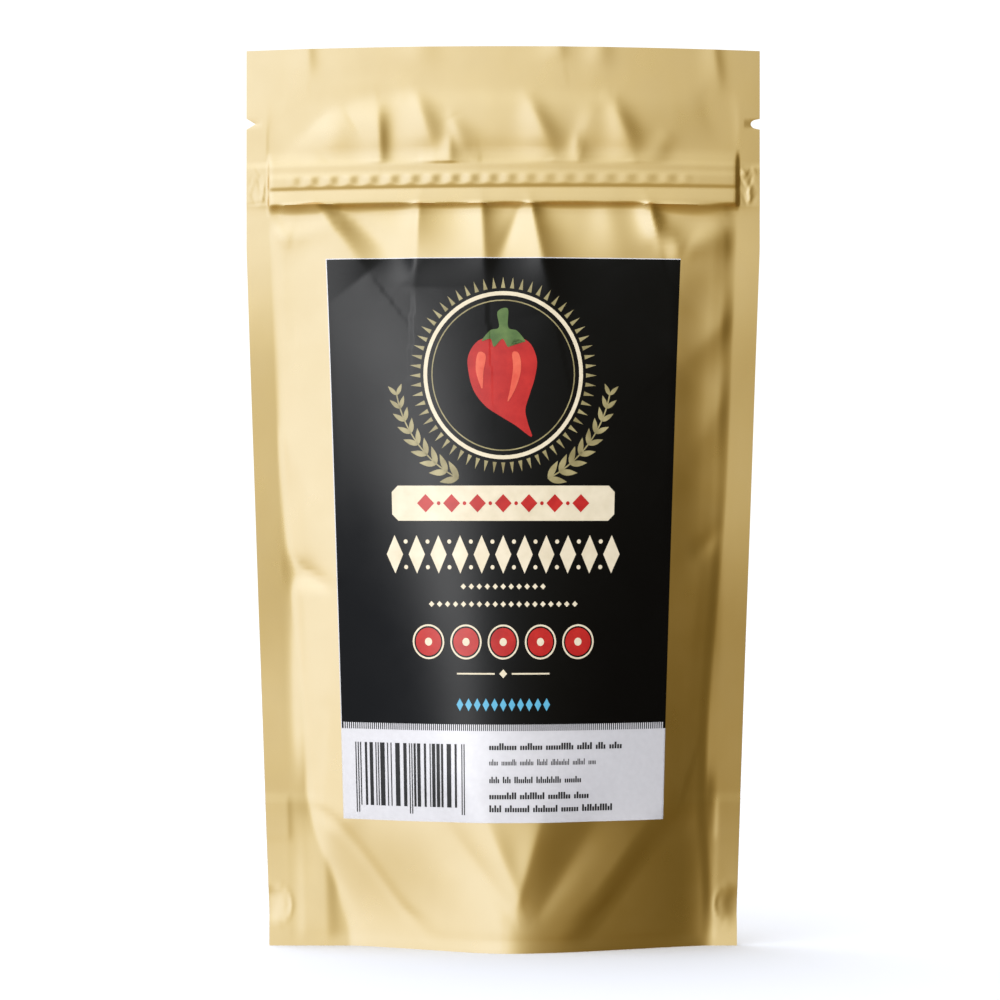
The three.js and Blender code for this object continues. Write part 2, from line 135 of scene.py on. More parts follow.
def crown(across, up):
    off = KEEL_OFFSET * (1 - smooth(up, 4, 40))
    inner = np.minimum(np.abs(across - off) / (fin_edge(across, up) - np.sign(across) * off), 1)
    rounding = by_side(across - off, KEEL_ROUNDING)
    keel = 1 - (np.hypot(inner, rounding) - rounding) / (np.hypot(1, rounding) - rounding)
    keel = (np.hypot(keel, KEEL_TOE) - KEEL_TOE) / (math.hypot(1, KEEL_TOE) - KEEL_TOE)
    toe = mix(by_side(across, SEAM_TOE), 1, smooth(1 - inner, 0, 0.27))
    toe = mix(1, toe, smooth(up, *SEAM_TOE_FROM))
    return mix(keel, (1 - inner ** 2) ** BELLY_POWER * toe, smooth(up, 4, 44))


def gusset_share(across):
    return np.minimum(np.abs(across) / GUSSET_REACH, 1) ** 2


def gusset_seal(across):
    return mix(GUSSET_SEAL_LOW, GUSSET_HEIGHT, gusset_share(across))


def foot_line(across):
    return mix(GUSSET_SEAL_LOW, GUSSET_HEIGHT, smooth(np.abs(across), *FOOT_LINE))


# The zip shows through the film as two long ribs between the side seals. A row of pressed dimples runs
# along the upper rib, and where the sealing bar crushed the zip's ends, the seal is crumpled and cracked.
ZIP_SPAN = (187.6, 196.8)
ZIP_CRUSHED = 0.4
ZIP_LIFT = 1.25
ZIP_LIFT_RAMP = (1.4, 4)
ZIP_END = (0.905, 0.921)
LOWER_RIB = (187.9, 190.9, 0.42)
UPPER_RIB = (193.2, 1.75, 0.4)
ZIP_GROOVE = (191.0, 0.5, 0.16)
DIMPLE_ROW = 193.4
DIMPLE_PITCH = 4.97
DIMPLE_DEPTH = 0.15
ZIP_TILT = 0.45
CRUMPLES = 20
CRUMPLE_SEED = 5


def zip_relief(across, up):
    up = up - ZIP_TILT * across
    length = 1 - smooth(np.abs(across), *ZIP_END)
    lift = (ZIP_LIFT - ZIP_CRUSHED) * smooth(up, ZIP_SPAN[0] - ZIP_LIFT_RAMP[0], ZIP_SPAN[0])
    lift = lift * (1 - smooth(up, ZIP_SPAN[1], ZIP_SPAN[1] + ZIP_LIFT_RAMP[1]))
    lower = (1 - smooth(up, *LOWER_RIB[:2])) * smooth(up, LOWER_RIB[0] - 1.5, LOWER_RIB[0] - 0.3)
    ribs = LOWER_RIB[2] * lower + UPPER_RIB[2] * hump(up, UPPER_RIB[0], UPPER_RIB[1], 4)
    groove = ZIP_GROOVE[2] * hump(up, ZIP_GROOVE[0], ZIP_GROOVE[1])
    film_x = across * FLAT_HALF_WIDTH
    worn = band(film_x, -50, 44, 6) * mix(1, 0.4, smooth(film_x, -15, 12))
    wander = 0.6 * np.sin(film_x / 9)
    beads = np.sin(2 * math.pi * film_x / DIMPLE_PITCH + wander) * hump(up, DIMPLE_ROW, 1.1, 4)
    return length * (lift + ribs - groove + DIMPLE_DEPTH * worn * beads)


def crease_set(seed, count, box, length, rise, width):
    rng = np.random.default_rng(seed)
    creases = []
    for _ in range(count):
        x, up = rng.uniform(box[0], box[1]), rng.uniform(box[2], box[3])
        turn, half = rng.uniform(0.25, 0.75) * math.pi, rng.uniform(0.5, 1) * length / 2
        dx, dz = half * math.cos(turn), half * math.sin(turn)
        creases.append((x - dx, up - dz, x + dx, up + dz, rise * rng.uniform(-1, 1), width, width, 1.6))
    return creases


# A fold runs from one point to the next, in millimetres across and up the pouch as it stands. It rises
# or sinks by the fifth number and reaches the next two to its left and right. Then come its sharpness,
# and how much narrower it starts and wider it ends.
FRONT_FOLDS = [
    (-60.5, 197, -57.5, 207, -0.8, 4, 3, 1.9),
    (-58, 205, -42, 213, -0.8, 3.5, 4.5, 1.9),
    (-45, 212.5, -26, 216, -0.5, 3, 4.5, 2),
    (-47, 202, -38, 208, 0.8, 6, 6, 2),
    (-31, 198, -31.8, 212, 1.0, 4.8, 2.1, 1.6, 0.1),
    (-17.6, 200, -22, 214, 1.0, 4.6, 3.4, 1.7, -0.35),
    (-9, 200, -13, 208.5, 0.5, 2.4, 3, 1.7, -0.3),
    (-13.4, 196.5, -13.6, 203.5, 0.8, 3.2, 2.6, 1.4, -0.5),
    (12.8, 199, 6.5, 213, 0.9, 4.2, 3.2, 1.7, -0.4),
    (18.8, 196.5, 18.6, 204, 0.5, 2.2, 2.6, 1.5, -0.4),
    (20.5, 203, 24, 212, 0.3, 3, 5, 2),
    (33, 199, 28, 212.5, 0.85, 4.2, 3.2, 1.7, -0.4),
    (41, 203, 36, 197, 0.3, 3, 3, 2),
    (52, 214, 58, 203, -0.35, 3, 4.5, 1.9),
    (-55, 187, -43, 187.6, 0.9, 1.5, 2.3, 1.7),
    (-57.5, 186, -55.5, 180.5, -0.7, 1.4, 1.8, 1.6),
    (-61, 181, -53, 178.6, 0.9, 2.2, 2.4, 1.8),
    (-54, 178.8, -42, 182, 0.6, 2.4, 2.4, 1.8),
    (-48, 188, -34, 170, 1.5, 6, 3.6, 1.3, 0.65),
    (-41, 186, -23, 170, -0.8, 4, 3.6, 1.6, 0.65),
    (-21.5, 189, -22.6, 166, 1.7, 3.2, 8.5, 1.15, 0.6),
    (-5.6, 190, -4.2, 166, 1.6, 7, 4, 1.15, 0.5),
    (5, 187, -2.5, 170, -0.5, 2, 2, 1.5, 0.5),
    (6.6, 189, 12.8, 160, 2.0, 6.5, 4.6, 1.25, 0.7),
    (26, 187, 31, 172, 0.5, 5, 6, 1.9, 0.4),
    (36.5, 189, 39.5, 177, 1.5, 3.2, 2, 1.5, 0.3),
    (37, 187.2, 57, 186.4, 1.5, 1.5, 2.7, 1.7),
    (39.5, 180.5, 46, 176, 0.9, 2.6, 3, 1.8),
    (45, 176, 57, 179.5, 1.0, 3.4, 3.4, 1.8),
    (-52, 150, -50, 118, 0.5, 3, 6, 1.8),
    (-55, 128, -46, 108, 0.7, 4, 4, 1.7),
    (-53, 95.5, -43.5, 91, -1.5, 2.0, 2.4, 1.6, -0.3),
    (-50, 112, -48.5, 97, 0.6, 3, 4, 1.7),
    (-50.2, 88, -49.4, 44, 1.0, 2.8, 5, 1.6, 0.1),
    (-44, 60, -45, 34, -0.5, 3, 3, 1.8),
    (56, 177, 44, 166, 0.4, 6, 6, 1.8),
    (58, 159, 44, 147, 0.9, 7, 4.5, 1.6),
    (56, 138, 44, 120, 0.65, 8, 6, 1.7),
    (53, 103, 47.5, 98.5, -0.5, 2.4, 2.4, 1.7),
    (51, 92, 43, 62, 0.4, 8, 8, 1.8),
    (-36, 36, -44, 27, 0.5, 4, 4, 1.8),
    (-17, 36, 1.5, 10, -0.9, 5, 3.2, 1.6, -0.4),
    (-7, 38, 4, 14, 0.6, 5, 3, 1.6, -0.4),
    (11, 38, 3.5, 12, 0.9, 4, 5, 1.4, -0.5),
    (25, 36, 9, 10, -0.7, 5, 4, 1.7, -0.5),
    (43, 31, 31, -6, 3.4, 16, 12, 2),
    (52, 40, 46, 24, 0.5, 4, 4, 1.8),
    (-45.4, 29, -44.2, -8, 1.1, 7, 3, 1.7),
    (-41, 14, -39, 7, 0.25, 1, 1, 1.5),
    (-25, 10, -17, 5.5, -0.2, 1, 1.2, 1.6),
    (27, 12, 19, 6.5, -0.25, 1.2, 1, 1.6),
]
BACK_FOLDS = [
    (-52, 200, -40, 213, -0.5, 3, 3, 2),
    (-24, 198, -25.5, 214, 0.75, 2.6, 2.2, 1.7),
    (-12, 199, -9, 213, 0.6, 2, 2.4, 1.6),
    (5, 198, 4, 214, 0.8, 3, 2.2, 1.6),
    (17, 198, 22, 212, 0.6, 2, 3, 1.7),
    (27, 199, 28, 213, 0.7, 3, 2.4, 1.7),
    (44, 212, 55, 201, -0.45, 3, 3, 2),
    (-57, 186, -42, 186.5, -0.7, 1.5, 1.5, 1.8),
    (-46, 186, -33, 170, 0.9, 5, 4, 1.5),
    (-27, 188, -25, 166, 0.9, 4, 5, 1.4),
    (-10, 188, -8, 160, 1.1, 5, 4, 1.4),
    (10, 187, 16, 160, 1, 5, 5, 1.4),
    (27, 187, 24, 170, 0.7, 3, 4, 1.5),
    (42, 186, 36, 172, 0.8, 4, 4, 1.5),
    (44, 184, 57, 185, -0.6, 1.8, 2, 1.8),
    (-54, 160, -44, 138, 0.9, 6, 5, 1.6),
    (-54, 128, -38, 104, 1, 6, 5, 1.6),
    (-51, 96, -42, 66, 0.9, 5, 6, 1.6),
    (-50, 62, -40, 44, 0.8, 4, 5, 1.6),
    (54, 164, 43, 146, 0.8, 5, 5, 1.6),
    (53, 132, 40, 110, 1, 5, 6, 1.6),
    (50, 94, 43, 68, 0.9, 5, 6, 1.6),
    (-6, 120, -16, 96, 0.6, 8, 8, 1.9),
    (14, 90, 4, 66, 0.6, 8, 8, 1.9),
    (-17, 58, -3, 20, -1.1, 5, 4, 1.6),
    (17, 52, 4, 20, -1.1, 4, 5, 1.6),
    (34, 30, 26, 14, 0.6, 5, 5, 1.8),
    (-36, 30, -28, 14, 0.6, 5, 5, 1.8),
]
SEALED_FOLDS = [
    (-49.5, 229, -49, 219.5, 0.35, 3.4, 1.8, 1.6),
    (13.5, 229, 15, 223, 0.3, 4, 2, 1.6),
    (53.2, 229, 54.8, 217, 0.25, 3, 1.4, 1.6),
    (25, 229, 24, 221, 0.25, 3, 3, 2),
    (-20, 230, -22, 221, 0.2, 4, 4, 2),
]
for side in (-1, 1):
    zip_end = sorted((side * 60.2, side * 64.2))
    SEALED_FOLDS += crease_set(CRUMPLE_SEED + side, CRUMPLES, (*zip_end, 188.5, 196.2), 3.4, 0.17, 0.42)
    SEALED_FOLDS += [
        (side * 66, 197.5, side * 59.5, 197.3, -0.22, 0.4, 0.4, 1.4),
        (side * 66, 187.4, side * 59.2, 187.9, -0.22, 0.4, 0.4, 1.4),
    ]


def fold_relief(folds, x, up):
    relief = np.zeros_like(x)
    for x0, up0, x1, up1, rise, left, right, sharp, *taper in folds:
        run_x, run_up = x1 - x0, up1 - up0
        long = run_x ** 2 + run_up ** 2
        along = np.clip(((x - x0) * run_x + (up - up0) * run_up) / long, 0, 1)
        off_x, off_up = x - x0 - along * run_x, up - up0 - along * run_up
        upward = 1 if run_up > 0 or (run_up == 0 and run_x > 0) else -1
        right_side = upward * (run_up * off_x - run_x * off_up) > 0
        opening = taper[0] if taper else 0.2
        reach = np.where(right_side, right, left) * mix(1 - opening, 1 + opening, along)
        away = np.sqrt(off_x ** 2 + off_up ** 2 + 0.04) / reach
        relief += rise * np.sin(math.pi * mix(0.2, 0.92, along)) * np.exp(-away ** sharp)
    return relief


# The heat seals are pressed flat, with a low welt along the inner edge. The foot seal runs down in a U,
# and round welds hold the panels together through the punched corners of the gusset.
SEAL_WELT = 0.3
SEAL_WELT_RUN = (0.05, 0.09)
SEAL_WELT_STARTS = (36, 46)
SEAL_WELT_ENDS = (176, 186)
FOOT_SEAL_VALLEY = (0.32, 0.1)
FOOT_SEAL_STEP = (0.28, 0.8)
WELD_RADIUS = 5.2
WELD_HEIGHT = 10.5
WELD_CLOSED = 1.6
WELD_REACH = 4.5
CORNER_WELD_TOP = (27.5, 36.8)
CORNER_WELD_REACH = 6.2


def seal_relief(across, up):
    edge = np.abs(across)
    fin = fin_edge(across, up)
    free = 1 - smooth(edge, fin - by_side(across, SEAL_WELT_RUN), fin)
    free = free * smooth(up, *SEAL_WELT_STARTS) * (1 - smooth(up, *SEAL_WELT_ENDS))
    from_seal = up - foot_line(across)
    below = 1 - smooth(from_seal, -4, 3)
    foot_seal = -by_side(across, FOOT_SEAL_VALLEY) * hump(from_seal, 0, 2.2)
    foot_seal = foot_seal - by_side(across, FOOT_SEAL_STEP) * below
    middle = 1 - smooth(edge, 0.78, 0.93)
    to_edge = (1 - edge) * half_width(up)
    weld = np.hypot(to_edge, up - WELD_HEIGHT)
    weld_mark = 0.09 * hump(weld, WELD_RADIUS, 0.5) - 0.06 * (1 - smooth(weld, WELD_RADIUS - 1, WELD_RADIUS))
    rim = np.maximum(np.abs(up - sum(CORNER_WELD_TOP) / 2) - (CORNER_WELD_TOP[1] - CORNER_WELD_TOP[0]) / 2, 0)
    corner = np.hypot(np.maximum(to_edge - CORNER_WELD_REACH + 2, 0), np.maximum(rim + 2, 0)) - 2
    corner_mark = 0.1 * hump(corner, 0, 0.45) * smooth(edge, 0.86, 0.9)
    return SEAL_WELT * free + foot_seal * middle * smooth(up, 1, 3) + weld_mark + corner_mark


# At the seams the panels stand apart by what lies between them: the gusset at the foot, and the crushed
# zip. At the corner welds, where the gusset is punched away, they close on each other.
def seam_stack(across, up):
    at_seam = smooth(np.abs(across), 0.7, 0.84)
    gusset = (FILM + FILM_GAP) * (1 - mix(smooth(up, 24, 64), smooth(up, *GUSSET_STEP), at_seam))
    to_edge = (1 - np.abs(across)) * half_width(up)
    to_weld = np.hypot(to_edge, up - WELD_HEIGHT)
    gusset *= mix(smooth(to_weld, WELD_CLOSED, WELD_RADIUS - 0.3), 1, smooth(to_edge, 0, WELD_REACH))
    return FILM + FILM_GAP + gusset + ZIP_CRUSHED * band(up, *ZIP_SPAN, 1.6)


def standing_x(across, up):
    middle = 1 - across ** 2
    pulled = 1 - BELLY_PULL * belly_depth(up) / belly_depth(0) * middle
    return across * pulled * half_width(up)


SOFT_STOP = 0.2


def film_depth(folds, across, up):
    x = standing_x(across, up)
    header = smooth(up, 195, 200)
    seams = 1 - smooth(np.abs(across), mix(0.86, 0.89, header), mix(0.915, 0.925, header))
    clear_of_zip = 1 - band(up, 187.9, 197, 0.9) * 0.93
    clear_of_top = 1 - smooth(up, 214, 218)
    skirt = mix(0.55, 1, smooth(up, foot_line(across), foot_line(across) + 8)) * smooth(up, 0, 4)
    folded = fold_relief(folds, x, up) * seams * clear_of_zip * clear_of_top * skirt
    apart = belly_depth(up) * crown(across, up) + folded
    apart = (apart + np.hypot(apart, SOFT_STOP) - SOFT_STOP) / 2
    return seam_stack(across, up) + apart + zip_relief(across, up) + seal_relief(across, up)


NOTCH_HEIGHT = 208
NOTCH_DEPTH = 2.3
NOTCH_HALF_OPENING = 1.4
left_twist = curve_through([
    (0, -0.1), (14, 0), (45, 0.6), (75, 0.86), (112, 1.05), (150, 0.65), (184, 0), (POUCH_HEIGHT, 0),
])
right_twist = curve_through([
    (0, -1.2), (12, -1.6), (50, -2.3), (75, -2.15), (125, -1.15), (150, -1.05), (184, 0), (POUCH_HEIGHT, 0),
])


def notched(x, up):
    away = np.abs(up - NOTCH_HEIGHT) / NOTCH_HALF_OPENING
    vee = np.maximum(1 - away, 0)
    half_round = np.sqrt(np.maximum(1 - away ** 2, 0))
    cut = NOTCH_DEPTH * np.where(x < 0, vee, half_round)
    edge = half_width(up)
    inner = edge - 4
    share = np.clip((np.abs(x) - inner) / (edge - inner), 0, 1)
    return np.sign(x) * (np.abs(x) - cut * share)


def place(side, across, up, depth):
    middle = 1 - across ** 2
    bow = smooth(up, TOP_BOW_FROM, POUCH_HEIGHT) * middle
    x = standing_x(across, up)
    fin = fin_edge(across, up)
    outward = np.maximum(np.abs(across) - fin + 0.04, 0) / 0.14
    turned = by_side(across, (left_twist(up), right_twist(up)))
    ripple = 0.16 * np.sin(up / 9 + 2 * np.sign(across)) * smooth(up, 20, 50)
    sway = outward * (turned + ripple) * smooth(up, 1, 12)
    sway = sway + fold_relief(SEALED_FOLDS, x, up) * smooth(up, 10, 50)
    sealed = np.maximum(smooth(up, 213, 218), smooth(np.abs(across), fin - 0.05, fin))
    y = side * depth - TOP_BOW * bow - sway * sealed
    return np.stack((notched(x, up), y, up + TOP_ARCH * bow), -1) * MM


def sheet_object(name, outer, inner, materials, face_slot=None):
    tall, wide = outer.shape[:2]
    index = np.arange(2 * tall * wide).reshape(2, tall, wide)
    cell = [index[:, :-1, :-1], index[:, :-1, 1:], index[:, 1:, 1:], index[:, 1:, :-1]]
    front = np.stack([corner[0] for corner in cell], -1).reshape(-1, 4)
    rear = np.stack([corner[1] for corner in reversed(cell)], -1).reshape(-1, 4)
    loop = np.concatenate((index[0, 0, :], index[0, 1:, -1], index[0, -1, -2::-1], index[0, -2:0:-1, 0]))
    after = np.roll(loop, -1)
    rim = np.stack((after, loop, loop + tall * wide, after + tall * wide), -1)
    quads = np.concatenate((front, rear, rim))
    points = np.concatenate((outer.reshape(-1, 3), inner.reshape(-1, 3)))
    a, b, c, d = (points[quads[:, i]] for i in range(4))
    volume = np.einsum("ij,ij->", a, np.cross(b, c)) + np.einsum("ij,ij->", a, np.cross(c, d))
    if volume < 0:
        quads = quads[:, ::-1]
    mesh = bpy.data.meshes.new(name)
    mesh.from_pydata(points.tolist(), [], quads.tolist())
    for material in materials:
        mesh.materials.append(material)
    if face_slot is not None:
        slots = np.concatenate((face_slot.ravel(), face_slot.ravel(), np.full(len(rim), len(materials) - 1)))
        mesh.polygons.foreach_set("material_index", slots.astype(np.int32))
    mesh.shade_smooth()
    mesh.set_sharp_from_angle(angle=math.radians(62))
    piece = bpy.data.objects.new(name, mesh)
    bpy.context.scene.collection.objects.link(piece)
    return piece


def grid_lines(*stretches):
    lines = [np.arange(low, high, step) for low, high, step in stretches]
    return np.append(np.concatenate(lines), stretches[-1][1])


def new_material(name, base, roughness, metallic=0.0):
    material = bpy.data.materials.new(name)
    material.use_nodes = True
    nodes, links = material.node_tree.nodes, material.node_tree.links
    shader = nodes["Principled BSDF"]
    shader.inputs["Base Color"].default_value = (*base, 1)
    shader.inputs["Roughness"].default_value = roughness
    shader.inputs["Metallic"].default_value = metallic
    return material, nodes, links, shader


def noise(nodes, links, scale, detail=3, stretch=(1, 1, 1)):
    coordinates = nodes.new("ShaderNodeTexCoord")
    mapping = nodes.new("ShaderNodeMapping")
    mapping.inputs["Scale"].default_value = stretch
    texture = nodes.new("ShaderNodeTexNoise")
    texture.inputs["Scale"].default_value = scale
    texture.inputs["Detail"].default_value = detail
    links.new(coordinates.outputs["Object"], mapping.inputs["Vector"])
    links.new(mapping.outputs["Vector"], texture.inputs["Vector"])
    return texture.outputs["Fac"]


def spread(nodes, links, source, low, high):
    span = nodes.new("ShaderNodeMapRange")
    span.inputs["From Min"].default_value = 0.3
    span.inputs["From Max"].default_value = 0.7
    span.inputs["To Min"].default_value = low
    span.inputs["To Max"].default_value = high
    links.new(source, span.inputs["Value"])
    return span.outputs["Result"]


def tint(nodes, links, source, first, second):
    blend = nodes.new("ShaderNodeMix")
    blend.data_type = "RGBA"
    blend.inputs["A"].default_value = (*first, 1)
    blend.inputs["B"].default_value = (*second, 1)
    links.new(spread(nodes, links, source, 0, 1), blend.inputs["Factor"])
    return blend.outputs["Result"]


def bump(nodes, links, shader, source, distance, strength=1.0):
    relief = nodes.new("ShaderNodeBump")
    relief.inputs["Strength"].default_value = strength
    relief.inputs["Distance"].default_value = distance
    links.new(source, relief.inputs["Height"])
    links.new(relief.outputs["Normal"], shader.inputs["Normal"])


gold_film, nodes, links, shader = new_material("gold_film", (0.8, 0.62, 0.36), 0.3, 1.0)
film_cloud = noise(nodes, links, 38, 4)
film_gold = tint(nodes, links, film_cloud, (0.80, 0.615, 0.345), (0.83, 0.65, 0.385))
links.new(film_gold, shader.inputs["Base Color"])
links.new(spread(nodes, links, noise(nodes, links, 120, 3), 0.27, 0.33), shader.inputs["Roughness"])
bump(nodes, links, shader, noise(nodes, links, 240, 0, (1, 1, 0.45)), 0.00003, 0.5)

film_columns = np.concatenate((
    grid_lines((-65, -59, 0.3), (-59, 59, 0.6))[:-1],
    grid_lines((59, 65, 0.3)),
)) / FLAT_HALF_WIDTH
film_rows = grid_lines(
    (0, 40, 1.15), (40, 186.8, 1.5), (186.8, 198.6, 0.4), (198.6, 205.9, 1), (205.9, 210.1, 0.35),
    (210.1, POUCH_HEIGHT, 1.1),
)
film_grid = np.meshgrid(film_columns, film_rows)
for name, node, side, folds in (
    ("film_front", "front_panel", FRONT, FRONT_FOLDS),
    ("film_back", "back_panel", BACK, BACK_FOLDS),
):
    depth = film_depth(folds, *film_grid)
    outer = place(side, *film_grid, depth)
    inner = place(side, *film_grid, depth - FILM)
    film_panel = sheet_object(name, outer, inner, [gold_film])
    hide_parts(node)
    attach(film_panel, "root")


# The gusset. One leaf of the same film, folded up between the panels like a W and sealed to each of them
# along the U. It arches over the shelf, spreads the foot, and has a half-round punched from each corner.
GUSSET_RIDGE_LOW = 22
GUSSET_PEEL = 0.3
PUNCH_RADIUS = 5.5
PUNCH_HEIGHT = 10


def gusset_face(across, share, thickness):
    side = np.where(share < 0, FRONT, BACK)
    seal = gusset_seal(across)
    climb = 1 - np.abs(share)
    up = seal * np.minimum(climb * 2, 1)
    peel = GUSSET_PEEL * (1 - smooth(np.abs(across), 0.75, 0.85))
    depth = np.where(share < 0, film_depth(FRONT_FOLDS, across, up), film_depth(BACK_FOLDS, across, up))
    depth = depth - 2 * FILM - 0.03 - peel + thickness
    turn = np.clip(climb - 0.5, 0, 0.5) * math.pi
    ridge = mix(GUSSET_RIDGE_LOW, GUSSET_HEIGHT, gusset_share(across)) - seal + thickness
    leaf = place(1, across, up, side * depth * np.cos(turn))
    leaf[..., 2] += ridge * np.sin(turn) * MM
    punch = np.sqrt(np.maximum(PUNCH_RADIUS ** 2 - (leaf[..., 2] / MM - PUNCH_HEIGHT) ** 2, 0)) * MM
    edge = half_width(up) * MM
    inner = edge - 9 * MM
    part = np.clip((np.abs(leaf[..., 0]) - inner) / (edge - inner), 0, 1)
    leaf[..., 0] -= np.sign(leaf[..., 0]) * punch * part
    return leaf


gusset_columns = grid_lines((-65, -52, 0.6), (-52, 52, 1.3), (52, 65, 0.6)) / FLAT_HALF_WIDTH
gusset_grid = np.meshgrid(gusset_columns, grid_lines((-1, 1, 0.02)))
gusset_film = sheet_object(
    "gusset_film", gusset_face(*gusset_grid, FILM), gusset_face(*gusset_grid, 0), [gold_film]
)
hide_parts("bottom_gusset")
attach(gusset_film, "root")


# The zip strips. Clear extruded plastic, welded inside each panel below the top seal: hooked grooves in
# front and arrow beads behind, pressed together along their whole length.
zip_plastic, nodes, links, shader = new_material("zip_plastic", (0.78, 0.8, 0.82), 0.28)
shader.inputs["Transmission Weight"].default_value = 0.35
shader.inputs["IOR"].default_value = 1.49
zip_milk = noise(nodes, links, 300, 2, (0.1, 1, 1))
links.new(tint(nodes, links, zip_milk, (0.74, 0.76, 0.78), (0.84, 0.86, 0.88)), shader.inputs["Base Color"])
for node in ("zip_groove_strip", "zip_bead_strip"):
    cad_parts[node].data.materials.clear()
    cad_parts[node].data.materials.append(zip_plastic)


# The contents. Whole chilli pods dried until their skin is dark red, glossy and puckered, with straw
# coloured caps, in a loose heap on the gusset.
dried_skin, nodes, links, shader = new_material("dried_skin", (0.25, 0.02, 0.012), 0.42)
pucker = noise(nodes, links, 520, 5)
links.new(tint(nodes, links, pucker, (0.13, 0.008, 0.006), (0.42, 0.045, 0.018)), shader.inputs["Base Color"])
links.new(spread(nodes, links, noise(nodes, links, 260, 3), 0.34, 0.55), shader.inputs["Roughness"])
bump(nodes, links, shader, pucker, 0.0006, 0.7)
for node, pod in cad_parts.items():
    if node.startswith("dried_pod"):
        pod.data.materials.clear()
        pod.data.materials.append(dried_skin)


# The label. One sheet of satin coated paper, stuck to the front panel, so it follows the folds under it.
# It is printed black above and left white below, and its cut edge shows the white paper.
LABEL_HALF_WIDTH = 45.2
LABEL_SPAN = (32.5, 173.5)
LABEL_SPLIT = 55.3
LABEL_BARE_EDGE = 0.22
LABEL_LIFT = (0.02, 0.22)
LABEL_ROW = 0.62


def on_label(u, v, lift):
    across = u / FLAT_HALF_WIDTH
    return place(FRONT, across, v, film_depth(FRONT_FOLDS, across, v) + lift)


label_black, nodes, links, shader = new_material("label_black", (0.0016, 0.0016, 0.002), 0.36)
shader.inputs["Specular IOR Level"].default_value = 0.1
links.new(spread(nodes, links, noise(nodes, links, 90, 3), 0.3, 0.36), shader.inputs["Roughness"])
bump(nodes, links, shader, noise(nodes, links, 900, 2), 0.00002, 0.35)
label_white, nodes, links, shader = new_material("label_white", (0.54, 0.53, 0.55), 0.45)
paper = noise(nodes, links, 700, 3)
links.new(tint(nodes, links, paper, (0.53, 0.52, 0.54), (0.56, 0.55, 0.57)), shader.inputs["Base Color"])
bump(nodes, links, shader, paper, 0.00002, 0.3)


def lines_between(lines, low, high, *more):
    inside = lines[(lines > low + 0.1) & (lines < high - 0.1)]
    return np.unique(np.concatenate((inside, [low, high], more)).round(6))


label_columns = lines_between(
    film_columns * FLAT_HALF_WIDTH, -LABEL_HALF_WIDTH, LABEL_HALF_WIDTH, LABEL_BARE_EDGE - LABEL_HALF_WIDTH
)
label_rows = lines_between(
    np.arange(*LABEL_SPAN, LABEL_ROW), *LABEL_SPAN, LABEL_SPLIT, LABEL_SPAN[1] - LABEL_BARE_EDGE
)
label_u, label_v = np.meshgrid(label_columns, label_rows)
is_white = (label_v < LABEL_SPLIT - 0.01) | (label_v > LABEL_SPAN[1] - LABEL_BARE_EDGE - 0.01)
is_white |= label_u < LABEL_BARE_EDGE - LABEL_HALF_WIDTH - 0.01
label_slots = is_white[:-1, :-1].astype(int)
label_sheet = sheet_object(
    "label_sheet", on_label(label_u, label_v, LABEL_LIFT[1]), on_label(label_u, label_v, LABEL_LIFT[0]),
    [label_black, label_white], label_slots,
)
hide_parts("front_label")
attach(label_sheet, "root")
label_group = bpy.data.collections.new("label_and_print")
label_group.objects.link(label_sheet)


# The print. Flat areas of ink a few hundredths thick, laid out on the label's own plane, in millimetres
# from its middle line and up the pouch, and then wrapped onto the label as it bends.
INK = 0.035
PRINT_GAP = 0.02


def add_prism(flat, outline):
    low = [flat.verts.new((u, v, 0)) for u, v in outline]
    high = [flat.verts.new((u, v, 1)) for u, v in outline]
    flat.faces.new(low[::-1])
    flat.faces.new(high)
    for i in range(len(outline)):
        j = (i + 1) % len(outline)
        flat.faces.new((low[i], low[j], high[j], high[i]))


def add_ring(flat, middle, inner, outer, count=72, start=0.0, sweep=2 * math.pi):
    closed = sweep >= 2 * math.pi
    for i in range(count):
        turns = [start + sweep * (i + end) / count for end in (0, 1)]
        spokes = [(math.cos(turn), math.sin(turn)) for turn in turns]
        outline = [(middle[0] + radius * spokes[k][0], middle[1] + radius * spokes[k][1])
                   for k, radius in ((0, inner), (0, outer), (1, outer), (1, inner))]
        low = [flat.verts.new((u, v, 0)) for u, v in outline]
        high = [flat.verts.new((u, v, 1)) for u, v in outline]
        sides = [(low[1], low[2], high[2], high[1]), (low[3], low[0], high[0], high[3])]
        if not closed and i == 0:
            sides.append((low[0], low[1], high[1], high[0]))
        if not closed and i == count - 1:
            sides.append((low[2], low[3], high[3], high[2]))
        for corners in [low[::-1], high, *sides]:
            flat.faces.new(corners)
    bmesh.ops.remove_doubles(flat, verts=flat.verts, dist=1e-5)


def circle_outline(middle, radius, count=40):
    turns = [2 * math.pi * i / count for i in range(count)]
    return [(middle[0] + radius * math.cos(turn), middle[1] + radius * math.sin(turn)) for turn in turns]


def box_outline(left, low, right, high):
    return [(left, low), (right, low), (right, high), (left, high)]


def smooth_outline(points, steps=5):
    outline = []
    count = len(points)
    for i in range(count):
        p = [np.array(points[(i + k) % count], float) for k in (-1, 0, 1, 2)]
        for t in np.arange(steps) / steps:
            point = 0.5 * (2 * p[1] + (p[2] - p[0]) * t + (2 * p[0] - 5 * p[1] + 4 * p[2] - p[3]) * t ** 2
                           + (3 * p[1] - p[0] - 3 * p[2] + p[3]) * t ** 3)
            outline.append(tuple(point))
    return outline


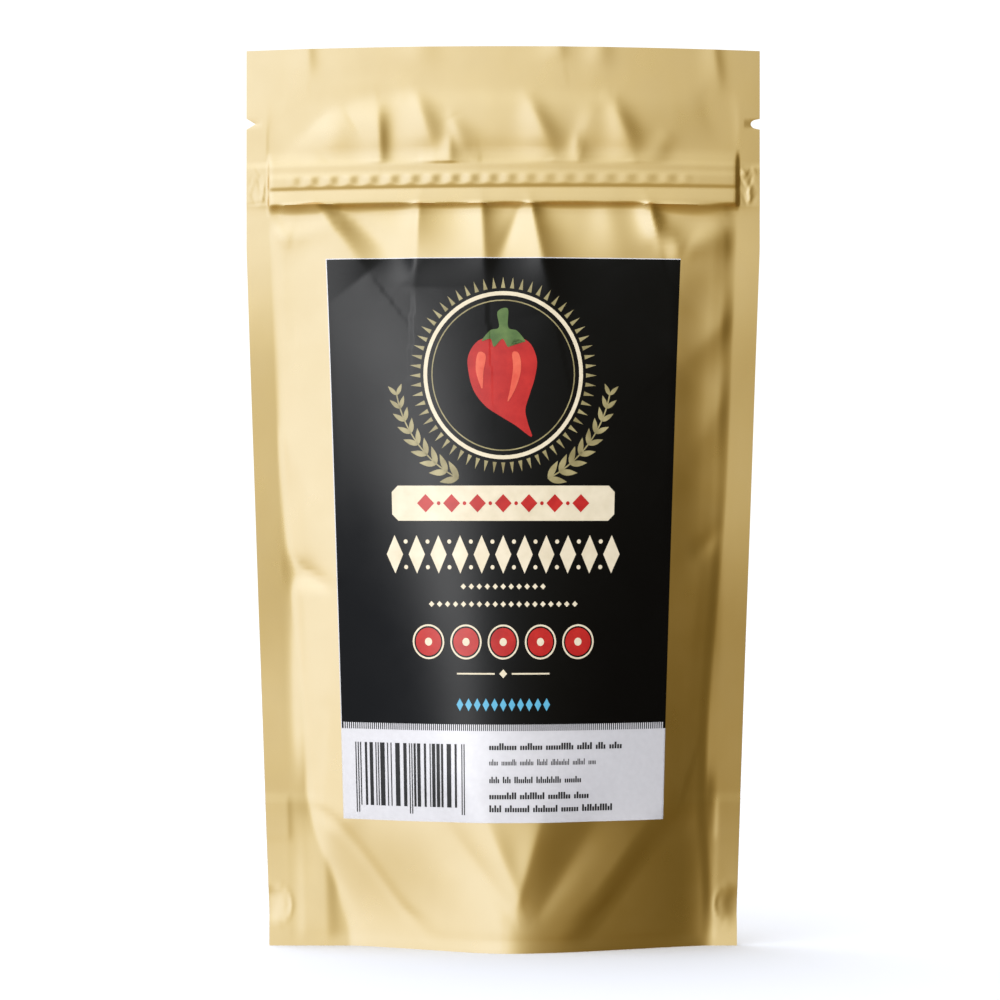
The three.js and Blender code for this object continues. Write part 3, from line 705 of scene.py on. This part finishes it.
def wrap_print(name, flat, material, layer=0):
    bmesh.ops.triangulate(flat, faces=[face for face in flat.faces if len(face.verts) > 4])
    for axis, lines in enumerate((label_columns, label_rows)):
        normal = Vector((1 - axis, axis, 0))
        span = [vert.co[axis] for vert in flat.verts]
        for line in lines[(lines > min(span)) & (lines < max(span))]:
            geometry = [*flat.verts, *flat.edges, *flat.faces]
            bmesh.ops.bisect_plane(flat, geom=geometry, dist=0.004, plane_co=normal * line, plane_no=normal)
    bmesh.ops.dissolve_degenerate(flat, dist=0.003, edges=flat.edges)
    bmesh.ops.triangulate(flat, faces=flat.faces)
    spot = np.array([vert.co[:] for vert in flat.verts])
    lift = LABEL_LIFT[1] + PRINT_GAP + INK * (layer + spot[:, 2])
    wrapped = on_label(spot[:, 0], spot[:, 1], lift)
    for vert, point in zip(flat.verts, wrapped):
        vert.co = point
    bmesh.ops.recalc_face_normals(flat, faces=flat.faces)
    mesh = bpy.data.meshes.new(name)
    flat.to_mesh(mesh)
    flat.free()
    mesh.materials.append(material)
    piece = bpy.data.objects.new(name, mesh)
    bpy.context.scene.collection.objects.link(piece)
    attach(piece, "root")
    label_group.objects.link(piece)


def ink_material(name, first, second, roughness=0.4):
    material, nodes, links, shader = new_material(name, first, roughness)
    shader.inputs["Specular IOR Level"].default_value = 0.16
    links.new(tint(nodes, links, noise(nodes, links, 260, 4), first, second), shader.inputs["Base Color"])
    bump(nodes, links, shader, noise(nodes, links, 900, 2), 0.00001, 0.3)
    return material


cream_ink = ink_material("cream_ink", (0.6, 0.52, 0.37), (0.68, 0.6, 0.45))
olive_ink = ink_material("olive_ink", (0.2, 0.165, 0.07), (0.34, 0.29, 0.14))
red_ink = ink_material("red_ink", (0.34, 0.008, 0.008), (0.44, 0.018, 0.014))
bright_red_ink = ink_material("bright_red_ink", (0.56, 0.06, 0.035), (0.66, 0.13, 0.07))
leaf_ink = ink_material("leaf_ink", (0.05, 0.1, 0.025), (0.11, 0.18, 0.05))
blue_ink = ink_material("blue_ink", (0.07, 0.31, 0.47), (0.1, 0.37, 0.54))
black_ink = ink_material("black_ink", (0.012, 0.012, 0.013), (0.02, 0.02, 0.02), 0.5)


# Repeats in the print, such as rays, beads and ticks, are laid by one small tree: copies of a motif on a row
# or a ring, turned to face outwards on the ring.
def repeat_tree(name, ring):
    tree = bpy.data.node_groups.new(name, "GeometryNodeTree")
    tree.interface.new_socket("Geometry", in_out="INPUT", socket_type="NodeSocketGeometry")
    names = {}
    for label, kind in (
        ("Motif", "NodeSocketObject"), ("Count", "NodeSocketInt"), ("Size", "NodeSocketFloat"),
        ("Ink", "NodeSocketMaterial"),
    ):
        names[label] = tree.interface.new_socket(label, in_out="INPUT", socket_type=kind).identifier
    tree.interface.new_socket("Geometry", in_out="OUTPUT", socket_type="NodeSocketGeometry")
    add, join = tree.nodes.new, tree.links.new
    inputs, output = add("NodeGroupInput"), add("NodeGroupOutput")
    motif = add("GeometryNodeObjectInfo")
    copies = add("GeometryNodeInstanceOnPoints")
    real, painted = add("GeometryNodeRealizeInstances"), add("GeometryNodeSetMaterial")
    if ring:
        path = add("GeometryNodeMeshCircle")
        join(inputs.outputs["Count"], path.inputs["Vertices"])
        join(inputs.outputs["Size"], path.inputs["Radius"])
        outward, position = add("FunctionNodeAlignRotationToVector"), add("GeometryNodeInputPosition")
        outward.axis, outward.pivot_axis = "Y", "Z"
        join(position.outputs["Position"], outward.inputs["Vector"])
        join(outward.outputs["Rotation"], copies.inputs["Rotation"])
    else:
        path, pitch = add("GeometryNodeMeshLine"), add("ShaderNodeCombineXYZ")
        join(inputs.outputs["Count"], path.inputs["Count"])
        join(inputs.outputs["Size"], pitch.inputs["X"])
        join(pitch.outputs["Vector"], path.inputs["Offset"])
    join(path.outputs["Mesh"], copies.inputs["Points"])
    join(inputs.outputs["Motif"], motif.inputs["Object"])
    join(motif.outputs["Geometry"], copies.inputs["Instance"])
    join(copies.outputs["Instances"], real.inputs["Geometry"])
    join(real.outputs["Geometry"], painted.inputs["Geometry"])
    join(inputs.outputs["Ink"], painted.inputs["Material"])
    join(painted.outputs["Geometry"], output.inputs["Geometry"])
    return tree, names


row_tree = repeat_tree("motif_row", ring=False)
ring_tree = repeat_tree("motif_ring", ring=True)


def flat_object(name, flat):
    mesh = bpy.data.meshes.new(name)
    flat.to_mesh(mesh)
    flat.free()
    piece = bpy.data.objects.new(name, mesh)
    bpy.context.scene.collection.objects.link(piece)
    return piece


def repeat_motif(outlines, tree_and_names, count, size, ink, offset):
    flat = bmesh.new()
    for outline in outlines:
        add_prism(flat, outline)
    motif = flat_object("motif", flat)
    carrier = flat_object("carrier", bmesh.new())
    tree, names = tree_and_names
    modifier = carrier.modifiers.new("repeat", "NODES")
    modifier.node_group = tree
    for label, value in (("Motif", motif), ("Count", count), ("Size", size), ("Ink", ink)):
        modifier[names[label]] = value
    bpy.context.view_layer.update()
    evaluated = carrier.evaluated_get(bpy.context.evaluated_depsgraph_get())
    mesh = bpy.data.meshes.new_from_object(evaluated)
    carrier.modifiers.remove(modifier)
    for used in (motif, carrier):
        bpy.data.objects.remove(used)
    flat = bmesh.new()
    flat.from_mesh(mesh)
    bpy.data.meshes.remove(mesh)
    bmesh.ops.translate(flat, verts=flat.verts, vec=(*offset, 0))
    return flat


# The medallion: a ring of rays and two plain rings round a red pod with its green cap.
MEDALLION = (0, 144)
RAY = [(-0.55, -1.4), (0.55, -1.4), (0, 1.4)]
RAYS = 60
RAY_RADIUS = 23.2
POD_OUTLINE = [
    (-1.6, 9.6), (-6.4, 8.7), (-9.2, 4.8), (-9, 0), (-7.6, -4.2), (-4.6, -7.8), (-0.8, -10.2), (3.4, -12.6),
    (7.6, -15.4), (6.6, -12), (5.9, -8.6), (7, -4.8), (8.4, -0.4), (8.8, 4.2), (6.6, 8.4), (2.2, 9.7),
]
POD_SHINE = [(-6.6, 5.6), (-7.2, 1.2), (-5.6, -3.4), (-5.2, 0.8), (-4.6, 5)]
POD_SEAM = [(2.4, 5.6), (2.6, 1.8), (1.9, -3), (1.2, -6.6), (3.4, -3), (4.7, 1.6), (4.1, 5.4)]
CAP_OUTLINE = [
    (-5.6, 8.6), (-3.4, 11.2), (-1.1, 12), (-1.5, 15.8), (1.2, 16.6), (1.3, 12), (3.6, 11.1), (5.8, 8.4),
    (3.2, 9.1), (1.4, 7), (-0.2, 9.1), (-2.4, 7.1), (-3.3, 9.1),
]


def moved(points, middle):
    return [(u + middle[0], v + middle[1]) for u, v in points]


rays = repeat_motif([RAY], ring_tree, RAYS, RAY_RADIUS, olive_ink, MEDALLION)
wrap_print("medallion_rays", rays, olive_ink)
for name, inner, outer, ink in (
    ("medallion_ring", 20, 21, cream_ink),
    ("medallion_line", 18.6, 18.9, olive_ink),
):
    flat = bmesh.new()
    add_ring(flat, MEDALLION, inner, outer)
    wrap_print(name, flat, ink)
for name, points, ink, layer in (
    ("printed_pod", POD_OUTLINE, red_ink, 0),
    ("printed_pod_shine", POD_SHINE, bright_red_ink, 2),
    ("printed_pod_seam", POD_SEAM, bright_red_ink, 2),
    ("printed_pod_cap", CAP_OUTLINE, leaf_ink, 3),
):
    flat = bmesh.new()
    add_prism(flat, moved(smooth_outline(points), MEDALLION))
    wrap_print(name, flat, ink, layer)


# The sprigs: a stem under each side of the medallion, with pairs of narrow leaves that point outwards.
SPRIG_RADIUS = 28.5
SPRIG_TURNS = (math.radians(190), math.radians(245))
SPRIG_LEAVES = 9
LEAF_LENGTH = 5.2
LEAF_WIDTH = 1.7
LEAF_LEAN = 0.6
STEM_HALF_WIDTH = 0.18


def leaf_outline(root, turn, length, width, steps=7):
    shares = [i / steps for i in range(steps + 1)]
    edge = [(share * length, width / 2 * math.sin(math.pi * share ** 0.8)) for share in shares]
    profile = edge + [(x, -y) for x, y in reversed(edge[1:-1])]
    cos, sin = math.cos(turn), math.sin(turn)
    return [(root[0] + x * cos - y * sin, root[1] + x * sin + y * cos) for x, y in profile]


sprigs = bmesh.new()
for mirror in (1, -1):
    for i in range(SPRIG_LEAVES):
        share = i / (SPRIG_LEAVES - 1)
        turn = mix(SPRIG_TURNS[1], SPRIG_TURNS[0], share)
        root = (MEDALLION[0] + SPRIG_RADIUS * math.cos(turn), MEDALLION[1] + SPRIG_RADIUS * math.sin(turn))
        for lean in (-LEAF_LEAN, LEAF_LEAN):
            size = mix(1, 0.62, share)
            outline = leaf_outline(root, turn - math.pi / 2 + lean, LEAF_LENGTH * size, LEAF_WIDTH * size)
            add_prism(sprigs, [(mirror * u, v) for u, v in outline][::mirror])
    start = SPRIG_TURNS[0] if mirror == 1 else math.pi - SPRIG_TURNS[1]
    stem = (SPRIG_RADIUS - STEM_HALF_WIDTH, SPRIG_RADIUS + STEM_HALF_WIDTH)
    add_ring(sprigs, MEDALLION, *stem, 40, start, SPRIG_TURNS[1] - SPRIG_TURNS[0])
wrap_print("leaf_sprigs", sprigs, olive_ink)


# The plaque and the rows below it: a cream bar with cut corners and red diamonds, a band of tall cream
# lozenges, two rows of beads, a scale of five discs, a thin rule and a short blue row.
PLAQUE = (0, 112)
PLAQUE_HALF = (30, 4.4)
PLAQUE_CUT = 1.6
PLAQUE_PITCH = 7
BAND_PITCH = 5.9
BAND_HEIGHT = 99.2
BEAD_PITCH = 2.2
SCALE_COUNT = 5
SCALE_PITCH = 10.4
SCALE_HEIGHT = 77.4


def cut_bar(middle, half, cut):
    corners = [(-half[0] + cut, -half[1]), (half[0] - cut, -half[1]), (half[0], -half[1] + cut),
               (half[0], half[1] - cut), (half[0] - cut, half[1]), (-half[0] + cut, half[1]),
               (-half[0], half[1] - cut), (-half[0], -half[1] + cut)]
    return moved(corners, middle)


def lozenge(width, height, middle=(0, 0)):
    return moved([(-width / 2, 0), (0, -height / 2), (width / 2, 0), (0, height / 2)], middle)


def print_row(name, outlines, count, pitch, height, ink, layer=0):
    start = (-(count - 1) * pitch / 2, height)
    wrap_print(name, repeat_motif(outlines, row_tree, count, pitch, ink, start), ink, layer)


flat = bmesh.new()
add_prism(flat, cut_bar(PLAQUE, PLAQUE_HALF, PLAQUE_CUT))
wrap_print("plaque", flat, cream_ink)
print_row("plaque_diamonds", [lozenge(4.6, 4.6)], 7, PLAQUE_PITCH, PLAQUE[1], red_ink, 1)
print_row("plaque_dots", [circle_outline((0, 0), 0.5, 12)], 6, PLAQUE_PITCH, PLAQUE[1], red_ink, 1)
print_row("lozenge_band", [lozenge(4.4, 9.6)], 11, BAND_PITCH, BAND_HEIGHT, cream_ink)
print_row("lozenge_band_dots", [circle_outline((0, 3.2), 0.55, 12), circle_outline((0, -3.2), 0.55, 12)],
          10, BAND_PITCH, BAND_HEIGHT, cream_ink)
print_row("bead_row_upper", [lozenge(1.5, 1.5)], 11, BEAD_PITCH, 91.2, cream_ink)
print_row("bead_row_lower", [lozenge(1.5, 1.5)], 19, BEAD_PITCH, 86.8, cream_ink)
print_row("scale_discs", [circle_outline((0, 0), 3.5)], SCALE_COUNT, SCALE_PITCH, SCALE_HEIGHT, red_ink)
centre = circle_outline((0, 0), 1.0, 20)
print_row("scale_centres", [centre], SCALE_COUNT, SCALE_PITCH, SCALE_HEIGHT, cream_ink, 1)
flat = bmesh.new()
for i in range(SCALE_COUNT):
    add_ring(flat, ((i - 2) * SCALE_PITCH, SCALE_HEIGHT), 3.9, 4.35, 40)
wrap_print("scale_rings", flat, cream_ink)
flat = bmesh.new()
for left, right in ((-13, -2.4), (2.4, 13)):
    add_prism(flat, box_outline(left, 69.3, right, 69.7))
add_prism(flat, lozenge(2.2, 2.2, (0, 69.5)))
wrap_print("thin_rule", flat, cream_ink)
print_row("blue_row", [lozenge(1.9, 3.2)], 11, 2.45, 61.8, blue_ink)


# The comb of white ticks where the black meets the white, and the plain bars printed on the white part.
TICK_PITCH = 0.565
TICK_HEIGHT = 1.7
BARS = (-41.5, -11)
BAR_SPAN = (36.2, 52)
BAR_MODULES = 95
BAR_SEED = 11
GUARDS = (0, 2, 46, 48, 92, 94)
LINE_SEED = 3
SMALL_PRINT = [
    (50.6, 1.7, 37, 0.52), (46.8, 1.5, 31, 0.24), (42.4, 1.6, 22, 0.4), (38.4, 1.7, 26, 0.52),
    (35.2, 1.7, 35, 0.52),
]
SMALL_PRINT_LEFT = -4

ticks = int(2 * (LABEL_HALF_WIDTH - 0.4) / TICK_PITCH)
tick = box_outline(-0.14, 0, 0.14, TICK_HEIGHT)
print_row("tick_comb", [tick], ticks, TICK_PITCH, LABEL_SPLIT - 0.1, label_white)

rng = np.random.default_rng(BAR_SEED)
module = (BARS[1] - BARS[0]) / BAR_MODULES
flat = bmesh.new()
at = 3
while at < BAR_MODULES - 6:
    at += int(rng.choice((1, 1, 2, 3)))
    wide = int(rng.choice((1, 2, 2, 3, 4)))
    if at + wide <= GUARDS[2] - 1 or GUARDS[3] + 1 < at < BAR_MODULES - wide - 3:
        left = BARS[0] + at * module
        add_prism(flat, box_outline(left, BAR_SPAN[0], left + (wide - 0.1) * module, BAR_SPAN[1]))
    at += wide
for guard in GUARDS:
    left = BARS[0] + guard * module
    add_prism(flat, box_outline(left, BAR_SPAN[0] - 1.8, left + 0.88 * module, BAR_SPAN[1]))
wrap_print("bar_block", flat, black_ink)

rng = np.random.default_rng(LINE_SEED)
flat = bmesh.new()
for low, size, width, stroke in SMALL_PRINT:
    left = SMALL_PRINT_LEFT
    while left < SMALL_PRINT_LEFT + width:
        for _ in range(int(rng.integers(4, 13))):
            high = low + size * rng.choice((0.62, 0.62, 1.0))
            add_prism(flat, box_outline(left, low, left + stroke, high))
            left += stroke + 0.2
        left += 0.9
wrap_print("small_print_bars", flat, black_ink)


# The set: a pale floor under plain soft light. A wide bright side stands on the left and the right side
# falls off into warm shade, as the reflections in the film show.
floor_white, nodes, links, shader = new_material("floor_white", (0.81, 0.82, 0.86), 0.9)
shader.inputs["Specular IOR Level"].default_value = 0.0
floor_mesh = bpy.data.meshes.new("floor")
floor_mesh.from_pydata([(-3, -3, 0), (3, -3, 0), (3, 3, 0), (-3, 3, 0)], [], [(0, 1, 2, 3)])
floor_mesh.materials.append(floor_white)
floor = bpy.data.objects.new("floor", floor_mesh)
bpy.context.scene.collection.objects.link(floor)
floor.visible_glossy = False

SURROUND = [
    (0.0, (1.15, 1.22, 1.28)), (0.12, (1.22, 1.33, 1.52)), (0.38, (1.2, 1.31, 1.48)),
    (0.45, (1.14, 1.19, 1.16)), (0.5, (1.0, 1.0, 0.82)), (0.62, (0.7, 0.65, 0.42)),
    (0.75, (0.4, 0.32, 0.13)), (0.88, (0.21, 0.155, 0.045)), (1.0, (0.15, 0.11, 0.03)),
]
UPWARD_SHEEN = [
    (0.0, (0.4, 0.28, 0.1)), (0.24, (0.74, 0.66, 0.44)), (0.36, (1.01, 1.0, 0.97)), (0.5, (1.0, 1.0, 1.0)),
    (0.65, (1.06, 1.08, 1.12)), (1.0, (1.1, 1.14, 1.22)),
]
UPWARD_FILL = [(0.0, 0.7), (0.5, 0.95), (1.0, 2.1)]
BACKDROP = 1.1
world = bpy.data.worlds.new("studio")
bpy.context.scene.world = world
world.use_nodes = True
nodes, links = world.node_tree.nodes, world.node_tree.links
direction = nodes.new("ShaderNodeTexCoord")
split = nodes.new("ShaderNodeSeparateXYZ")
links.new(direction.outputs["Generated"], split.inputs["Vector"])


def light_ramp(axis, stops):
    along = nodes.new("ShaderNodeMapRange")
    along.inputs["From Min"].default_value = -1
    links.new(split.outputs[axis], along.inputs["Value"])
    ramp = nodes.new("ShaderNodeValToRGB")
    while len(ramp.color_ramp.elements) < len(stops):
        ramp.color_ramp.elements.new(0.5)
    for element, (at, colour) in zip(ramp.color_ramp.elements, stops):
        element.position = at
        element.color = (*colour, 1) if isinstance(colour, tuple) else (colour, colour, colour, 1)
    links.new(along.outputs["Result"], ramp.inputs["Fac"])
    return ramp.outputs["Color"]


def light_product(first, second):
    product = nodes.new("ShaderNodeMix")
    product.data_type, product.blend_type = "RGBA", "MULTIPLY"
    product.inputs["Factor"].default_value = 1
    links.new(first, product.inputs["A"])
    links.new(second, product.inputs["B"])
    return product.outputs["Result"]


def light_source(colour, strength=1.0):
    source = nodes.new("ShaderNodeBackground")
    source.inputs["Strength"].default_value = strength
    if colour:
        links.new(colour, source.inputs["Color"])
    else:
        source.inputs["Color"].default_value = (1, 1, 1, 1)
    return source.outputs["Background"]


def light_choice(test, otherwise, chosen):
    choice = nodes.new("ShaderNodeMixShader")
    links.new(seen.outputs[test], choice.inputs["Fac"])
    links.new(otherwise, choice.inputs[1])
    links.new(chosen, choice.inputs[2])
    return choice.outputs["Shader"]


seen = nodes.new("ShaderNodeLightPath")
side_light = light_ramp("X", SURROUND)
even = nodes.new("ShaderNodeRGBToBW")
links.new(side_light, even.inputs["Color"])
mirrored = light_source(light_product(side_light, light_ramp("Z", UPWARD_SHEEN)))
fill = light_source(light_product(even.outputs["Val"], light_ramp("Z", UPWARD_FILL)))
lit = light_choice("Is Diffuse Ray", mirrored, fill)
surround = light_choice("Is Camera Ray", lit, light_source(None, BACKDROP))
links.new(surround, nodes["World Output"].inputs["Surface"])


# The label's satin paper takes one broad lamp from the left, which lights it softly and lies on it as
# sheen. It is two lamps in one place, so that each effect has a strength of its own.
LAMP_SIZE = (0.35, 0.5)
LAMP_SPOT = (-0.55, -1.08, 0.5)
LAMP_AIM = Vector((0, 0, 0.12))
for name, energy, sheen in (("label_fill", 4.5, False), ("label_sheen", 24, True)):
    light = bpy.data.lights.new(name, "AREA")
    light.shape = "RECTANGLE"
    light.size, light.size_y = LAMP_SIZE
    light.energy = energy
    lamp = bpy.data.objects.new(name, light)
    lamp.location = LAMP_SPOT
    lamp.rotation_euler = (LAMP_AIM - lamp.location).to_track_quat("-Z", "Y").to_euler()
    lamp.visible_glossy, lamp.visible_diffuse = sheen, not sheen
    lamp.light_linking.receiver_collection = label_group
    bpy.context.scene.collection.objects.link(lamp)


# The camera stands level with the middle of the pouch, squarely in front of it.
CAMERA_AWAY = 1.2
CAMERA_SPOT = (-0.0008, -CAMERA_AWAY, 0.1128)
SENSOR = 36
PIXELS_PER_MM = 3.946
FRAME_PIXELS = 1000
camera_data = bpy.data.cameras.new("camera")
camera_data.sensor_width = SENSOR
camera_data.lens = SENSOR * PIXELS_PER_MM * (CAMERA_AWAY / MM) / FRAME_PIXELS
camera = bpy.data.objects.new("camera", camera_data)
camera.location = CAMERA_SPOT
camera.rotation_euler = (math.pi / 2, 0, 0)
bpy.context.scene.collection.objects.link(camera)
bpy.context.scene.camera = camera
bpy.context.scene.view_settings.view_transform = "Standard"
